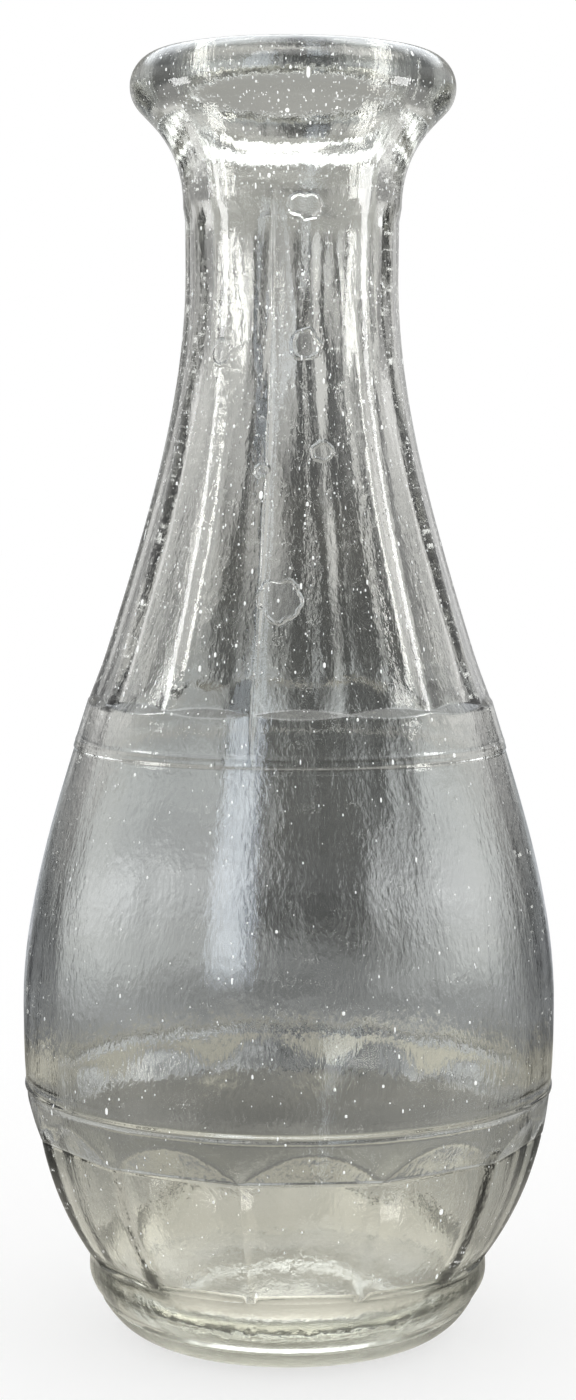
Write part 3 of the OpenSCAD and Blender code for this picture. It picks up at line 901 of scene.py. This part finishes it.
def neck_lamp(azimuth, distance, low, high, width, brightness):
    """A strip lamp that stands upright beside the neck and faces it. Only the glass shows it."""
    data = bpy.data.lights.new("strip_lamp", "AREA")
    data.shape = "RECTANGLE"
    data.size, data.size_y = width, high - low
    data.energy = brightness * math.pi * width * (high - low)
    lamp = bpy.data.objects.new("strip_lamp", data)
    a = math.radians(azimuth)
    outward = Vector((math.sin(a), -math.cos(a), 0))
    lamp.location = outward * distance + Vector((0, 0, (low + high) / 2))
    lamp.rotation_mode = "QUATERNION"
    lamp.rotation_quaternion = (-outward).to_track_quat("-Z", "Y")
    lamp.visible_camera = lamp.visible_diffuse = False
    bpy.context.scene.collection.objects.link(lamp)


def carafe_camera(stage):
    """A camera at a little over half the carafe's height, aimed slightly down."""
    data = bpy.data.cameras.new("camera")
    data.sensor_width = 36
    data.sensor_fit = "AUTO"
    data.lens = stage.camera_lens
    data.clip_start, data.clip_end = 0.01, 20
    camera = bpy.data.objects.new("camera", data)
    bpy.context.scene.collection.objects.link(camera)
    a = stage.camera_azimuth
    right = Vector((math.cos(a), math.sin(a), 0))
    camera.location = (math.sin(a) * stage.camera_distance, -math.cos(a) * stage.camera_distance,
        stage.camera_height)
    aim = Vector((0, 0, stage.aim_height)) - right * stage.aim_across - camera.location
    camera.rotation_mode = "QUATERNION"
    camera.rotation_quaternion = aim.to_track_quat("-Z", "Y") @ Quaternion((0, 0, 1), stage.camera_roll)
    bpy.context.scene.camera = camera


# ------------------------------------------------------------ the add-on

class CARAFE_OT_glass(bpy.types.Operator):
    """Build the closed shell of pressed glass"""
    bl_idname = "carafe.glass"
    bl_label = "Glass"

    def execute(self, context):
        scene = context.scene
        glass = placed(shell_mesh("carafe_glass", glass_surface(scene.carafe_sizes)),
            pressed_glass(scene.carafe_finish, scene.carafe_sizes))
        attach(glass, "root")
        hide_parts("foot_ring", "base_disc", "panelled_heel", "lower_band", "belly",
            "shoulder_band", "panelled_neck", "mouth_ring")
        return {"FINISHED"}


class CARAFE_OT_seeds(bpy.types.Operator):
    """Scatter the seeds, the tiny bubbles in the glass"""
    bl_idname = "carafe.seeds"
    bl_label = "Seeds"

    def execute(self, context):
        scene = context.scene
        seeds = placed(seed_mesh("carafe_seeds", scene.carafe_sizes), seed_finish(scene.carafe_finish))
        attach(seeds, "root")
        return {"FINISHED"}


class CARAFE_OT_stage(bpy.types.Operator):
    """Lay the floor, light the room and set the camera"""
    bl_idname = "carafe.stage"
    bl_label = "Stage"

    def execute(self, context):
        scene = context.scene
        stage = scene.carafe_stage
        half = FLOOR_HALF
        mesh = bpy.data.meshes.new("floor")
        mesh.from_pydata([(-half, -half, 0), (half, -half, 0), (half, half, 0), (-half, half, 0)], [],
            [(0, 1, 2, 3)])
        placed(mesh, floor_finish(stage))
        scene.world = soft_studio(stage)
        for lamp in LAMPS:
            neck_lamp(*lamp)
        carafe_camera(stage)
        scene.view_settings.view_transform = "Standard"
        return {"FINISHED"}


class CARAFE_PT_panel(bpy.types.Panel):
    """Carafe tools"""
    bl_label = "Glass Carafe"
    bl_idname = "CARAFE_PT_panel"
    bl_space_type = "VIEW_3D"
    bl_region_type = "UI"
    bl_category = "Carafe"

    def draw(self, context):
        for group in (context.scene.carafe_sizes, context.scene.carafe_finish, context.scene.carafe_stage):
            box = self.layout.box()
            for name in group.__annotations__:
                box.prop(group, name)
        for operator in OPERATORS:
            self.layout.operator(operator.bl_idname)


OPERATORS = (CARAFE_OT_glass, CARAFE_OT_seeds, CARAFE_OT_stage)
CLASSES = (CarafeSizes, CarafeFinish, CarafeStage, *OPERATORS, CARAFE_PT_panel)


def register():
    """Adds the tools and their settings."""
    for c in CLASSES:
        bpy.utils.register_class(c)
    bpy.types.Scene.carafe_sizes = PointerProperty(type=CarafeSizes)
    bpy.types.Scene.carafe_finish = PointerProperty(type=CarafeFinish)
    bpy.types.Scene.carafe_stage = PointerProperty(type=CarafeStage)


def unregister():
    """Takes the tools and their settings out again."""
    del bpy.types.Scene.carafe_sizes, bpy.types.Scene.carafe_finish, bpy.types.Scene.carafe_stage
    for c in reversed(CLASSES):
        bpy.utils.unregister_class(c)


def main():
    """Builds the glass, its seeds and the stage."""
    register()
    bpy.ops.carafe.glass()
    bpy.ops.carafe.seeds()
    bpy.ops.carafe.stage()


if __name__ == "__main__":
    main()
